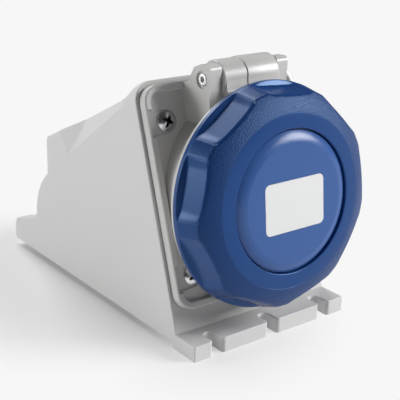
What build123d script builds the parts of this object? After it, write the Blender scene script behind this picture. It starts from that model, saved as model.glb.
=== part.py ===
from build123d import *
import math
import os

os.makedirs("parts", exist_ok=True)

# Housing, in mm: Z out of the wall, -Y towards the plug, X across.
# The origin is on the wall, below the foot of the sloping face.
half_width = 45.0
foot_length = 14.0
foot_thickness = 7.4
foot_back = 2.0
foot_root = 3.0
foot_root_hollow = 0.6
face_tilt = 18.0
wall = 3.0
underside = 3.1
body_height = 107.4
top_slope = 25.7
lip_height = 112.3
lip_thickness = 3.6
lip_radius = 9.5
lip_flare = 6.0
lip_hollow = 1.6
back_y = 113.5
shoulder_height = 51.4
shoulder_length = 13.5
shoulder_base = 25.3
shoulder_bulge = 3.5
crease_height = 106.5
facet_lean = 21.0
facet_reach = 16.0
block_start = 91.6
block_round = 3.0
edge_soft = 0.6
foot_soft = 0.5
cut_past = 1.0

# Fixings to the wall
slot_width = 5.6
slot_depth = 9.0
slot_spacing = 32.0
slot_mouth = 1.6
ledge_length = 25.7
ledge_root_height = 21.4
ledge_root_run = 4.2
ledge_height = 16.7
ledge_round = 5.7
ledge_round_share = 0.3
ledge_roof = 4.5
ledge_seat = 9.0
ledge_chamfer = 2.1
pocket_width = 13.0
pocket_length = 17.0
rear_foot_length = 10.0
rear_foot_width = 15.0
rear_foot_inset = 6.0

# Sloping face, flange and its screws
opening_width = 76.0
opening_height = 92.0
opening_radius = 6.0
flange_width = 87.0
flange_height = 100.0
flange_centre = 60.0
flange_radius = 8.0
seal_thickness = 0.8
seal_inset = 0.5
seal_width = 4.0
seal_lobe_inset = 1.0
plate_front = 3.2
rim_front = 5.2
rim_width = 3.4
rim_round = 0.9
screw_x = 33.0
screw_spacing = 69.0
screw_radius = 2.0
screw_length = 16.0
screw_head_radius = 4.5
screw_head_height = 2.7
screw_head_edge = 0.8
screw_tip = 1.0
recess_span = 1.2
recess_width = 0.24
recess_depth = 0.6
pad_front = 2.6
pad_height = 10.6
pad_reach = 41.6
pad_draft = 20.0
pillar_radius = 4.5
pillar_depth = 22.0
fit_clearance = 0.05
hole_clearance = 0.3

# Collar, angled down from the face
collar_angle = 12.0
collar_up = 59.0
tower_radius = 39.6
tower_front = 17.0
tower_core_inner = 31.6
tower_core_outer = 37.4
tower_roof = 2.6
neck_radius = 32.6
mouth_front = 33.0
bore_radius = 29.0
skirt_back = -12.0
shelf_front = -1.4
shelf_back = -3.0
shelf_radius = 27.4
key_width = 6.0
key_depth = 2.2
key_back = 0.0
ramp_radius = 37.6
ramp_back = 25.8
ramp_thickness = 3.2
ramp_spread = 40.0
ramp_sink = 0.5
ramp_start = 30.0
lug_turn = 37.0

# Hinge
pin_up = 108.5
pin_out = 18.8
pin_radius = 2.4
pin_bore = 1.3
pin_half_length = 20.9
ear_inner = 15.8
ear_outer = 22.0
ear_foot = 22.5
ear_heel_out = 9.0
ear_heel_setback = 0.6
ear_rear_rise = 6.1
ear_rear_setback = 3.8
ear_crest_rise = 6.6
ear_crest_out = 1.2
ear_tip_rise = 5.0
ear_tip_out = 8.2
ear_tip_round = 2.5
ear_chin_drop = 9.0
ear_chin_out = 3.2
ear_knee_drop = 18.5
ear_recess_radius = 3.8
ear_recess_depth = 1.0
barrel_radius = 8.4
barrel_slim = 0.6
barrel_half_length = 15.4
barrel_seam = -3.0
barrel_seam_width = 0.5
barrel_seam_depth = 0.5
spring_pocket_radius = 5.8
spring_radius = 4.0
spring_wire = 0.7
spring_turns = 5
spring_gap = 0.4
spring_end_gap = 0.3
spring_leg = 3.0
spring_leg_gap = 0.2

# Lid
disc_back = 19.0
disc_front = 22.5
disc_inner = 40.2
disc_outer = 50.2
web_half_width = 14.5
web_back = 12.3
web_rise = 59.5
web_chin_radius = 50.0
web_heel_radius = 45.5
web_overlap = 1.0
pillar_outer = 42.4
pillar_spread = 44.0
lid_pad_back = 30.5
lid_pad_front = 33.0
lid_pad_sink = 1.0
lid_pad_inner = 36.0
lid_pad_spread = 22.0
lid_screw_ring = 38.2
lid_screw_radius = 1.1
lid_screw_head = 1.9
lid_screw_gap = 0.3
lid_boss_radius = 2.4
dome_radius = 31.2
dome_edge = 40.0
dome_band_radius = 26.4
dome_band_front = 42.0
dome_band_bulge = 0.35
dome_crown = 42.3
dome_crown_bulge = 0.08
dome_back = 38.4
dome_flange_radius = 38.8
dome_flange_back = 36.2
dome_flange_front = 38.0
dome_inner_wall = 27.3
dome_inner_back = 35.2
label_width = 33.5
label_height = 22.5
label_radius = 2.5
label_drop = 1.0
label_back = 41.5
label_front = 42.2
label_clearance = 0.1
lid_seal_inner = 29.5
lid_seal_outer = 35.5
lid_seal_back = 33.3
lid_seal_front = 36.4
lid_seal_clearance = 0.2

# Lock ring
ring_bore = 42.8
ring_back = 22.9
ring_front = 41.2
ring_hole = 31.9
ring_step_radius = 38.6
ring_step_front = 40.6
ring_radius = 51.1
ring_rim_front = 26.0
ring_crown_radius = 48.4
ring_crown_front = 36.4
ring_crown_bulge = 0.75
ring_crown_round = 1.2
ring_edge_round = 0.6
ring_ceiling = 38.4
ring_ceiling_radius = 39.0
ring_ceiling_edge = 35.9
grip_count = 9
grip_start = 5.5
grip_distance = 48.6
grip_lean = 12.3
grip_half_flat = 11.4
grip_half_width = 14.2
grip_ramp_rise = 0.9
grip_reach = 66.4
lug_inner = 35.8
lug_sink = 0.5
lug_thickness = 2.6
lug_spread = 20.0

# Contacts
carrier_radius = 21.5
carrier_front = 29.0
carrier_flange_radius = 28.6
carrier_web = 3.0
carrier_rim = 3.0
carrier_front_wall = 3.0
contact_pitch = 11.0
contact_rise = 30.0
line_pin_radius = 3.0
earth_pin_radius = 4.0
sleeve_wall = 1.5
pin_entry_clearance = 0.25
pin_slide_clearance = 0.05
spring_clip_wall = 0.7
spring_clip_front = 22.0
spring_clip_length = 2.4
spring_clip_gap = 1.6
spring_clip_turn = 45.0
carrier_bore_clearance = 0.2
contact_front = 25.8
contact_slot = 1.0
contact_slot_back = 9.0
contact_pin_depth = 4.0
contact_collar = 1.0
terminal_back = -26.0
wire_bore_radius = 2.4
wire_bore_depth = 11.0
terminal_screw_radius = 1.7
terminal_screw_pitch = 5.6
terminal_screw_first = 3.4
terminal_screw_proud = 0.8
terminal_slot_width = 0.6
terminal_slot_depth = 0.7
cover_thickness = 3.0
cover_radius = 38.6
cover_screw_ring = 34.5
cover_screw_start = 0.0
cover_screw_radius = 1.5
cover_screw_head = 2.8
cover_screw_head_height = 2.0
cover_screw_length = 10.0
cover_screw_gap = 1.0
cover_boss_radius = 3.2

# Cable entry at the far end
entry_height = 44.0
entry_radius = 12.5
entry_boss_radius = 17.0
entry_face = 129.0
entry_seal_radius = 15.2
entry_seal_thickness = 1.4
entry_plug_radius = 15.6
entry_plug_head = 4.0
entry_plug_depth = 11.0
entry_plug_bore = 9.5
entry_plug_clearance = 0.15
entry_slot_length = 21.8
entry_slot_width = 2.0
entry_slot_depth = 1.6

# Directions and planes: the sloping face, and the collar that leans less
face_sin = math.sin(math.radians(face_tilt))
face_cos = math.cos(math.radians(face_tilt))
collar_tilt = face_tilt - collar_angle
collar_sin = math.sin(math.radians(collar_tilt))
collar_cos = math.cos(math.radians(collar_tilt))


def on_face(up, out):
    # a point of the side view, from its distance up the sloping face and out of it
    return (
        up * face_sin - out * face_cos,
        foot_thickness + up * face_cos + out * face_sin,
    )


def on_collar(radial, axial):
    # a point of the side view, from its distance off the collar's axis and along it
    y, z = on_face(collar_up, 0)
    return (
        y + radial * collar_sin - axial * collar_cos,
        z + radial * collar_cos + axial * collar_sin,
    )


face_plane = Plane(
    origin=(0, *on_face(0, 0)), x_dir=(1, 0, 0), z_dir=(0, -face_cos, face_sin)
)
collar_plane = Plane(
    origin=(0, *on_collar(0, 0)), x_dir=(1, 0, 0), z_dir=(0, -collar_cos, collar_sin)
)
turning_plane = Plane(
    origin=collar_plane.origin, x_dir=(1, 0, 0), z_dir=-collar_plane.y_dir
)
collar_axis = Axis(collar_plane.origin, collar_plane.z_dir)
pin_y, pin_z = on_face(pin_up, pin_out)
hinge_plane = Plane(origin=(0, pin_y, pin_z), x_dir=(0, 1, 0), z_dir=(1, 0, 0))
entry_plane = Plane(origin=(0, entry_face, entry_height), x_dir=(1, 0, 0), z_dir=(0, 1, 0))


def turned(points):
    # a section of a body turned about the collar's axis, as (radius, axial) points
    with BuildSketch(turning_plane) as section:
        with BuildLine():
            Polyline(*points, close=True)
        make_face()
    return section.sketch


def arcs(front, inner, outer, centres, spread):
    # stretches of a ring, each centred on an angle about the collar's axis
    with BuildSketch(collar_plane.offset(front)) as stretches:
        for centre in centres:
            with BuildLine():
                long_side = CenterArc((0, 0), outer, centre - spread / 2, spread)
                short_side = CenterArc((0, 0), inner, centre - spread / 2, spread)
                Line(long_side @ 0, short_side @ 0)
                Line(long_side @ 1, short_side @ 1)
            make_face()
    return stretches.sketch


def side_view(points, half_depth):
    # a plate cut to a side view and as wide as twice half_depth
    with BuildPart() as plate:
        with BuildSketch(Plane.YZ):
            with BuildLine():
                Polyline(*points, close=True)
            make_face()
        extrude(amount=half_depth, both=True)
    return plate.part


# Housing outline, seen from the side
top_front = on_face(body_height, 0)
top_back = (
    back_y,
    top_front[1] - (back_y - top_front[0]) * math.tan(math.radians(top_slope)),
)
low_front = (-(foot_thickness - underside) * face_sin / face_cos, underside)
shoulder_top = (back_y, shoulder_height)
shoulder_y = back_y + shoulder_length
crease_front = on_face(crease_height, 0)
crease_slope = math.atan2(
    crease_front[1] - shoulder_height, back_y - crease_front[0]
)
block_z = shoulder_height + (back_y - block_start) * math.tan(crease_slope)
crease_plane = Plane(
    origin=(0, block_start, block_z),
    x_dir=(1, 0, 0),
    z_dir=(0, -math.cos(crease_slope), math.sin(crease_slope)),
)


def wedge(inset):
    # the housing's main form, drawn in on every side by the inset
    half = half_width - inset
    with BuildPart() as form:
        with BuildSketch(Plane.YZ) as side:
            with BuildLine():
                Polyline(
                    (shoulder_y, shoulder_base),
                    (shoulder_y, underside),
                    low_front,
                    top_front,
                    top_back,
                    shoulder_top,
                )
                SagittaArc(shoulder_top, (shoulder_y, shoulder_base), shoulder_bulge)
            make_face()
            fillet(side.vertices().sort_by_distance((*top_back, 0))[0], block_round)
            if inset:
                offset(amount=-inset)
        extrude(amount=half, both=True)
        # flat facets between the side walls and the top, as far as the entry block
        with BuildSketch(crease_plane):
            lean = math.tan(math.radians(facet_lean))
            for side_x in (-1, 1):
                Polygon(
                    (side_x * half, -inset),
                    (side_x * (half_width + cut_past), -inset),
                    (side_x * (half_width + cut_past), facet_reach),
                    (side_x * (half - (facet_reach + inset) * lean), facet_reach),
                    align=None,
                )
        extrude(amount=back_y, mode=Mode.SUBTRACT)
    return form.part


outer_wedge = wedge(0)
inner_wedge = wedge(wall)

with BuildPart() as lip:
    with BuildSketch(Plane.YZ):
        lip_back = on_face(lip_height, -lip_thickness)
        flare_y = lip_back[0] + lip_flare
        flare_end = (
            flare_y,
            top_front[1] - (flare_y - top_front[0]) * math.tan(math.radians(top_slope)),
        )
        with BuildLine():
            Polyline(
                flare_end,
                on_face(body_height - wall, -lip_thickness),
                on_face(body_height - wall, 0),
                on_face(lip_height, 0),
                lip_back,
            )
            SagittaArc(lip_back, flare_end, -lip_hollow)
        make_face()
    extrude(amount=half_width, both=True)

with BuildPart() as wall_box:
    add(outer_wedge)
    add(lip.part)
    # the sloping face has round upper corners
    with BuildSketch(face_plane) as face_outline:
        with Locations((0, lip_height)):
            Rectangle(2 * half_width, 2 * lip_height, align=(Align.CENTER, Align.MAX))
        fillet(face_outline.vertices().group_by(Axis.Y)[-1], lip_radius)
    extrude(amount=2 * lip_height, both=True, mode=Mode.INTERSECT)
    # cable entry hub at the far end
    with BuildSketch(entry_plane):
        Circle(entry_boss_radius)
    extrude(amount=back_y - block_round - entry_face - wall)
    add(inner_wedge, mode=Mode.SUBTRACT)
    # front foot with its three open slots
    with BuildSketch(Plane.YZ):
        with BuildLine():
            Polyline(
                (foot_back + foot_root, underside),
                (foot_back + foot_root, foot_thickness),
                (-foot_length, foot_thickness),
                (-foot_length, 0),
                (foot_back, 0),
            )
            SagittaArc((foot_back, 0), (foot_back + foot_root, underside), foot_root_hollow)
        make_face()
    extrude(amount=half_width, both=True)
    with BuildSketch(Plane.XY):
        with Locations((0, -foot_length)):
            with GridLocations(slot_spacing, 0, 3, 1):
                SlotOverall(2 * slot_depth, slot_width, rotation=90)
    extrude(amount=foot_thickness, mode=Mode.SUBTRACT)
    mouths = wall_box.edges().filter_by(Axis.Z).group_by(Axis.Y)[0]
    fillet(mouths.filter_by_position(Axis.X, cut_past - half_width, half_width - cut_past), slot_mouth)
    # opening behind the flange, and a pillar for each flange screw
    with BuildSketch(face_plane):
        with Locations((0, flange_centre)):
            RectangleRounded(opening_width, opening_height, opening_radius)
    extrude(amount=-wall - cut_past, mode=Mode.SUBTRACT)
    with BuildSketch(face_plane):
        for side_x in (-1, 1):
            for up in (-1, 1):
                screw_up = collar_up + up * screw_spacing / 2
                with Locations((side_x * screw_x, screw_up)):
                    Circle(pillar_radius)
                with Locations((side_x * (screw_x + half_width - wall / 2) / 2, screw_up)):
                    Rectangle(half_width - wall / 2 - screw_x, 2 * pillar_radius)
    extrude(amount=-pillar_depth)
    with BuildSketch(face_plane):
        with Locations((0, collar_up)):
            with GridLocations(2 * screw_x, screw_spacing, 2, 2):
                Circle(screw_radius + fit_clearance)
    extrude(amount=-screw_length, mode=Mode.SUBTRACT)
    # rear fixing ledge, with a seat and an open slot at each side
    ledge_end = shoulder_y + ledge_length
    ledge_bevel = ledge_round * ledge_round_share
    add(
        side_view(
            [
                (shoulder_y - wall, underside),
                (shoulder_y - wall, shoulder_base),
                (shoulder_y, shoulder_base),
                (shoulder_y + ledge_root_run, ledge_root_height),
                (ledge_end - ledge_round, ledge_height),
                (ledge_end - ledge_bevel, ledge_height - ledge_bevel),
                (ledge_end, ledge_height - ledge_round),
                (ledge_end, underside + ledge_chamfer),
                (ledge_end - ledge_chamfer, underside),
            ],
            half_width,
        )
    )
    with BuildSketch(Plane.XY.offset(ledge_seat)):
        with Locations((-slot_spacing, ledge_end), (slot_spacing, ledge_end)):
            Rectangle(pocket_width, 2 * pocket_length)
    extrude(amount=ledge_root_height, mode=Mode.SUBTRACT)
    with BuildSketch(Plane.XY):
        with Locations((-slot_spacing, ledge_end), (slot_spacing, ledge_end)):
            SlotOverall(2 * slot_depth, slot_width, rotation=90)
    extrude(amount=ledge_root_height, mode=Mode.SUBTRACT)
    # hollow under the middle of the ledge, and the two rear feet
    with BuildSketch(Plane.XY.offset(underside)):
        with Locations((0, (shoulder_y + wall + ledge_end - wall) / 2)):
            Rectangle(2 * (slot_spacing - pocket_width / 2 - wall), ledge_length - 2 * wall)
    extrude(amount=ledge_height - underside - ledge_roof, mode=Mode.SUBTRACT)
    with BuildSketch(Plane.XY):
        for side_x in (-1, 1):
            foot_x = half_width - rear_foot_inset - rear_foot_width / 2
            with Locations((side_x * foot_x, shoulder_y + rear_foot_length / 2)):
                Rectangle(rear_foot_width, rear_foot_length)
    extrude(amount=underside)
    # bore of the cable entry
    with BuildSketch(entry_plane):
        Circle(entry_radius)
    extrude(amount=back_y - 2 * block_round - entry_face - wall, mode=Mode.SUBTRACT)
    # soft moulded edges: the slope, the foot's corners and the shoulders, then the foot's top
    side_walls = wall_box.faces().filter_by(Axis.X).group_by(SortBy.AREA)[-1]
    border = side_walls.edges().filter_by_position(Axis.Z, underside + edge_soft / 2, lip_height)
    front_border = border.filter_by_position(Axis.Y, -2 * foot_length, crease_front[0])
    block_middle = (block_start + back_y) / 2
    rear_border = border.filter_by_position(Axis.Y, block_middle, 2 * ledge_end)
    rear_border = rear_border.filter_by_position(Axis.Z, foot_thickness, lip_height)
    fillet(front_border + rear_border, edge_soft)
    foot_top = (
        wall_box.faces()
        .filter_by(Axis.Z)
        .filter_by_position(Axis.Z, foot_thickness - edge_soft, foot_thickness + edge_soft)
        .sort_by(Axis.Y)[0]
    )
    rim_edges = foot_top.outer_wire().edges()
    fillet(rim_edges.filter_by_position(Axis.Y, -2 * foot_length, -edge_soft), foot_soft)
wall_box.part.label = "wall_box"
export_step(wall_box.part, "parts/wall_box.step")

with BuildPart() as box_seal:
    with BuildSketch(face_plane):
        with Locations((0, flange_centre)):
            seal_outer_width = flange_width - 2 * seal_inset
            seal_outer_height = flange_height - 2 * seal_inset
            RectangleRounded(seal_outer_width, seal_outer_height, flange_radius - seal_inset)
            RectangleRounded(
                seal_outer_width - 2 * seal_width,
                seal_outer_height - 2 * seal_width,
                flange_radius - seal_width,
                mode=Mode.SUBTRACT,
            )
        for side_x in (-1, 1):
            for up in (-1, 1):
                screw_up = collar_up + up * screw_spacing / 2
                lobe_end = flange_width / 2 - seal_inset - seal_lobe_inset
                with Locations((side_x * (screw_x + lobe_end) / 2, screw_up)):
                    Rectangle(lobe_end - screw_x, 2 * pillar_radius)
                with Locations((side_x * screw_x, screw_up)):
                    Circle(pillar_radius)
                    Circle(screw_radius + hole_clearance, mode=Mode.SUBTRACT)
    extrude(amount=seal_thickness)
box_seal.part.label = "box_seal"
export_step(box_seal.part, "parts/box_seal.step")

# Path of the closing spring: a coil round the pin
spring_pitch = 2 * spring_wire + spring_gap
with BuildLine() as coil:
    Helix(
        spring_pitch,
        spring_pitch * spring_turns,
        spring_radius,
        center=(spring_wire + spring_end_gap - barrel_half_length, pin_y, pin_z),
        direction=(1, 0, 0),
    )
coil_start = coil.line @ 0
leg_plane = Plane(
    origin=(-ear_inner, coil_start.Y, coil_start.Z), x_dir=(0, 1, 0), z_dir=(-1, 0, 0)
)

# Flange and collar
ramp_angles = [ramp_start + 120 * k for k in range(3)]
lug_angles = [angle + lug_turn for angle in ramp_angles]
pillar_angles = [angle - lug_turn / 2 + 60 for angle in lug_angles]

with BuildPart() as tower:
    revolve(
        turned(
            [
                (0, skirt_back),
                (tower_radius, skirt_back),
                (tower_radius, tower_front),
                (neck_radius, tower_front),
                (neck_radius, mouth_front),
                (0, mouth_front),
            ]
        ),
        axis=collar_axis,
    )
    split(bisect_by=face_plane.offset(seal_thickness), keep=Keep.TOP)

ear_base = (seal_thickness + plate_front) / 2
ear_heel_up = flange_centre + flange_height / 2 - ear_heel_setback
with BuildPart() as ears:
    for inner_x in (-ear_outer, ear_inner):
        with BuildSketch(
            Plane(origin=(inner_x, *on_face(0, 0)), x_dir=face_plane.y_dir, z_dir=(1, 0, 0))
        ) as ear:
            tip = (pin_up + ear_tip_rise, pin_out + ear_tip_out)
            Polygon(
                (pin_up - ear_foot, ear_base),
                (ear_heel_up, ear_base),
                (ear_heel_up, ear_heel_out),
                (pin_up + ear_rear_rise, pin_out - ear_rear_setback),
                (pin_up + ear_crest_rise, pin_out + ear_crest_out),
                tip,
                (pin_up - ear_chin_drop, pin_out + ear_chin_out),
                (pin_up - ear_knee_drop, pin_out + ear_crest_out),
                align=None,
            )
            fillet(ear.vertices().sort_by_distance(tip)[0], ear_tip_round)
        extrude(amount=ear_outer - ear_inner)

with BuildPart() as socket_flange:
    with BuildSketch(face_plane.offset(seal_thickness)):
        with Locations((0, flange_centre)):
            RectangleRounded(flange_width, flange_height, flange_radius)
    extrude(amount=plate_front - seal_thickness)
    with BuildSketch(face_plane.offset(plate_front)):
        with Locations((0, flange_centre)):
            RectangleRounded(flange_width, flange_height, flange_radius)
            RectangleRounded(
                flange_width - 2 * rim_width,
                flange_height - 2 * rim_width,
                flange_radius - rim_width,
                mode=Mode.SUBTRACT,
            )
    extrude(amount=rim_front - plate_front)
    rim = socket_flange.faces().sort_by(Axis(face_plane.origin, face_plane.z_dir))[-1]
    fillet(rim.edges(), rim_round)
    # pads for the screw heads, cut into the rim
    with BuildSketch(face_plane.offset(pad_front)):
        for side_x in (-1, 1):
            for up in (-1, 1):
                screw_up = collar_up + up * screw_spacing / 2
                with Locations((side_x * (screw_x + pad_reach) / 2, screw_up)):
                    Rectangle(pad_reach - screw_x, pad_height)
                with Locations((side_x * screw_x, screw_up)):
                    Circle(pad_height / 2)
    extrude(amount=2 * rim_front, taper=-pad_draft, mode=Mode.SUBTRACT)
    add(tower.part)
    add(ears.part)
    # the tower is cored from behind, and a skirt holds the contact carrier
    revolve(
        turned(
            [
                (tower_core_inner, 3 * skirt_back),
                (tower_core_outer, 3 * skirt_back),
                (tower_core_outer, tower_front - tower_roof),
                (tower_core_inner, tower_front - tower_roof),
            ]
        ),
        axis=collar_axis,
        mode=Mode.SUBTRACT,
    )
    revolve(
        turned(
            [
                (bore_radius, skirt_back),
                (tower_core_inner, skirt_back),
                (tower_core_inner, tower_front),
                (bore_radius, tower_front),
            ]
        ),
        axis=collar_axis,
    )
    with BuildSketch(collar_plane.offset(skirt_back)):
        with PolarLocations(cover_screw_ring, 3, cover_screw_start):
            Circle(cover_boss_radius)
    extrude(amount=tower_front - tower_roof - skirt_back)
    revolve(
        turned(
            [
                (0, 2 * skirt_back),
                (bore_radius, 2 * skirt_back),
                (bore_radius, shelf_back),
                (shelf_radius, shelf_back),
                (shelf_radius, shelf_front),
                (bore_radius, shelf_front),
                (bore_radius, 2 * mouth_front),
                (0, 2 * mouth_front),
            ]
        ),
        axis=collar_axis,
        mode=Mode.SUBTRACT,
    )
    with BuildSketch(collar_plane.offset(skirt_back)):
        with PolarLocations(cover_screw_ring, 3, cover_screw_start):
            Circle(cover_screw_radius + fit_clearance)
    extrude(amount=cover_screw_length, mode=Mode.SUBTRACT)
    # keyway for the plug, and the three bayonet ramps
    with BuildSketch(collar_plane.offset(key_back)):
        with Locations((0, -bore_radius)):
            Rectangle(key_width, 2 * key_depth)
    extrude(amount=2 * mouth_front, mode=Mode.SUBTRACT)
    extrude(
        arcs(ramp_back, neck_radius - ramp_sink, ramp_radius, ramp_angles, ramp_spread),
        amount=ramp_thickness,
    )
    # screw holes and the hinge
    with BuildSketch(face_plane):
        with Locations((0, collar_up)):
            with GridLocations(2 * screw_x, screw_spacing, 2, 2):
                Circle(screw_radius + hole_clearance)
    extrude(amount=2 * rim_front, mode=Mode.SUBTRACT)
    with BuildSketch(hinge_plane):
        Circle(pin_radius)
    extrude(amount=ear_outer, both=True, mode=Mode.SUBTRACT)
    for recess_x, into in ((-ear_outer, 1), (ear_outer, -1)):
        with BuildSketch(hinge_plane.offset(recess_x)):
            Circle(ear_recess_radius)
        extrude(amount=into * ear_recess_depth, mode=Mode.SUBTRACT)
    # hole for the spring's fixed leg
    with BuildSketch(leg_plane):
        Circle(spring_wire + fit_clearance)
    extrude(amount=spring_leg, mode=Mode.SUBTRACT)
socket_flange.part.label = "socket_flange"
export_step(socket_flange.part, "parts/socket_flange.step")

with BuildPart() as screw:
    with BuildSketch(Plane.XZ) as section:
        with BuildLine():
            Polyline(
                (screw_head_radius, pad_front + screw_head_edge),
                (screw_head_radius, pad_front),
                (screw_radius, pad_front),
                (screw_radius, 2 * screw_tip - screw_length),
                (0, screw_tip - screw_length),
                (0, pad_front + screw_head_height),
            )
            TangentArc(
                (0, pad_front + screw_head_height),
                (screw_head_radius, pad_front + screw_head_edge),
                tangent=(1, 0),
            )
        make_face()
    revolve(axis=Axis.Z)
    with BuildSketch(Plane.XY.offset(pad_front + screw_head_height)):
        Rectangle(recess_span * screw_head_radius, recess_width * screw_head_radius)
        Rectangle(recess_width * screw_head_radius, recess_span * screw_head_radius)
    extrude(amount=-recess_depth * screw_head_height, mode=Mode.SUBTRACT)

with BuildPart() as flange_screws:
    for side_x in (-1, 1):
        for up in (-1, 1):
            seat = face_plane.location * Location(
                (side_x * screw_x, collar_up + up * screw_spacing / 2, 0)
            )
            add(seat * screw.part)
flange_screws.part.label = "flange_screws"
export_step(flange_screws.part, "parts/flange_screws.step")

with BuildPart() as hinge_pin:
    with BuildSketch(hinge_plane):
        Circle(pin_radius)
        Circle(pin_bore, mode=Mode.SUBTRACT)
    extrude(amount=pin_half_length, both=True)
hinge_pin.part.label = "hinge_pin"
export_step(hinge_pin.part, "parts/hinge_pin.step")

# Lid, which swings on the pin
with BuildPart() as lid_arm:
    with BuildSketch(hinge_plane):
        Circle(barrel_radius)
    extrude(amount=barrel_half_length, both=True)
    with BuildSketch(
        Plane(origin=collar_plane.origin, x_dir=collar_plane.y_dir, z_dir=(1, 0, 0))
    ):
        Polygon(
            (web_rise, web_back),
            (web_chin_radius, disc_front),
            (disc_inner + web_overlap, disc_front),
            (disc_inner + web_overlap, disc_back),
            (web_heel_radius, web_back),
            align=None,
        )
    extrude(amount=web_half_width, both=True)
    revolve(
        turned(
            [
                (disc_inner, disc_back),
                (disc_outer, disc_back),
                (disc_outer, disc_front),
                (disc_inner, disc_front),
            ]
        ),
        axis=collar_axis,
    )
    extrude(
        arcs(disc_back + web_overlap, disc_inner, pillar_outer, pillar_angles, pillar_spread),
        amount=lid_pad_back + lid_pad_sink - disc_back - web_overlap,
    )
    extrude(
        arcs(lid_pad_back, lid_pad_inner, pillar_outer, pillar_angles, lid_pad_spread),
        amount=lid_pad_front - lid_pad_back,
    )
    with BuildSketch(collar_plane.offset(lid_pad_back)):
        with PolarLocations(lid_screw_ring, 3, pillar_angles[0]):
            Circle(lid_screw_radius + hole_clearance)
    extrude(amount=lid_pad_front - lid_pad_back, mode=Mode.SUBTRACT)
    # pin bore, spring pocket and the parting groove of the barrel
    with BuildSketch(hinge_plane):
        Circle(pin_radius + fit_clearance)
    extrude(amount=barrel_half_length, both=True, mode=Mode.SUBTRACT)
    with BuildSketch(hinge_plane.offset(-barrel_half_length)):
        Circle(spring_pocket_radius)
    extrude(amount=barrel_half_length + barrel_seam, mode=Mode.SUBTRACT)
    with BuildSketch(hinge_plane.offset(barrel_seam)):
        Circle(barrel_radius + cut_past)
        Circle(barrel_radius - barrel_seam_depth, mode=Mode.SUBTRACT)
    extrude(amount=barrel_seam_width, mode=Mode.SUBTRACT)
    with BuildSketch(hinge_plane.offset(barrel_seam)):
        Circle(barrel_radius + cut_past)
        Circle(barrel_radius - barrel_slim, mode=Mode.SUBTRACT)
    extrude(amount=-barrel_half_length, mode=Mode.SUBTRACT)
lid_arm.part.label = "lid_arm"
export_step(lid_arm.part, "parts/lid_arm.step")

with BuildPart() as lock_ring:
    with BuildSketch(turning_plane) as section:
        with BuildLine():
            Polyline(
                (ring_crown_radius, ring_crown_front),
                (ring_radius, ring_rim_front),
                (ring_radius, ring_back),
                (ring_bore, ring_back),
                (ring_bore, ring_ceiling_edge),
                (ring_ceiling_radius, ring_ceiling),
                (ring_hole, ring_ceiling),
                (ring_hole, ring_front),
                (ring_step_radius, ring_step_front),
            )
            SagittaArc(
                (ring_step_radius, ring_step_front),
                (ring_crown_radius, ring_crown_front),
                ring_crown_bulge,
            )
        make_face()
        rear_corner = section.vertices().sort_by_distance((ring_radius, ring_back))[0]
        fillet(rear_corner, ring_edge_round)
        crown = section.vertices().sort_by_distance((ring_crown_radius, ring_crown_front))[0]
        fillet(crown, ring_crown_round)
    revolve(axis=collar_axis)
    # grip flats that lean in towards the front, each with a ramp at both ends
    with BuildSketch(collar_plane.offset(ring_rim_front)):
        with PolarLocations(0, grip_count, grip_start):
            Polygon(
                (grip_distance, -grip_half_flat),
                (grip_distance + grip_ramp_rise, -grip_half_width),
                (grip_reach, -grip_half_width),
                (grip_reach, grip_half_width),
                (grip_distance + grip_ramp_rise, grip_half_width),
                (grip_distance, grip_half_flat),
                align=None,
            )
    extrude(amount=ring_front - ring_rim_front, taper=-grip_lean, mode=Mode.SUBTRACT)
    extrude(
        arcs(ring_back, lug_inner, ring_bore + lug_sink, lug_angles, lug_spread),
        amount=lug_thickness,
    )
lock_ring.part.label = "lock_ring"
export_step(lock_ring.part, "parts/lock_ring.step")

with BuildPart() as lid_dome:
    with BuildSketch(turning_plane):
        with BuildLine():
            Polyline(
                (0, dome_crown),
                (0, dome_back),
                (dome_inner_wall, dome_back),
                (dome_inner_wall, dome_inner_back),
                (lid_seal_inner - lid_seal_clearance, dome_inner_back),
                (lid_seal_inner - lid_seal_clearance, lid_seal_front),
                (lid_seal_outer + lid_seal_clearance, lid_seal_front),
                (lid_seal_outer + lid_seal_clearance, dome_flange_back),
                (dome_flange_radius, dome_flange_back),
                (dome_flange_radius, dome_flange_front),
                (dome_radius, dome_flange_front),
                (dome_radius, dome_edge),
            )
            SagittaArc(
                (dome_radius, dome_edge), (dome_band_radius, dome_band_front), -dome_band_bulge
            )
            SagittaArc((dome_band_radius, dome_band_front), (0, dome_crown), -dome_crown_bulge)
        make_face()
    revolve(axis=collar_axis)
    with BuildSketch(collar_plane.offset(lid_pad_front)):
        with PolarLocations(lid_screw_ring, 3, pillar_angles[0]):
            Circle(lid_boss_radius)
    extrude(amount=dome_flange_back - lid_pad_front)
    with BuildSketch(collar_plane.offset(lid_pad_front)):
        with PolarLocations(lid_screw_ring, 3, pillar_angles[0]):
            Circle(lid_screw_radius + fit_clearance)
    extrude(amount=dome_flange_back - lid_pad_front, mode=Mode.SUBTRACT)
    with BuildSketch(collar_plane.offset(label_back)):
        with Locations((0, -label_drop)):
            RectangleRounded(
                label_width + 2 * label_clearance,
                label_height + 2 * label_clearance,
                label_radius + label_clearance,
            )
    extrude(amount=dome_crown, mode=Mode.SUBTRACT)
lid_dome.part.label = "lid_dome"
export_step(lid_dome.part, "parts/lid_dome.step")

with BuildPart() as label_plate:
    with BuildSketch(collar_plane.offset(label_back)):
        with Locations((0, -label_drop)):
            RectangleRounded(label_width, label_height, label_radius)
    extrude(amount=label_front - label_back)
label_plate.part.label = "label_plate"
export_step(label_plate.part, "parts/label_plate.step")

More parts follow.
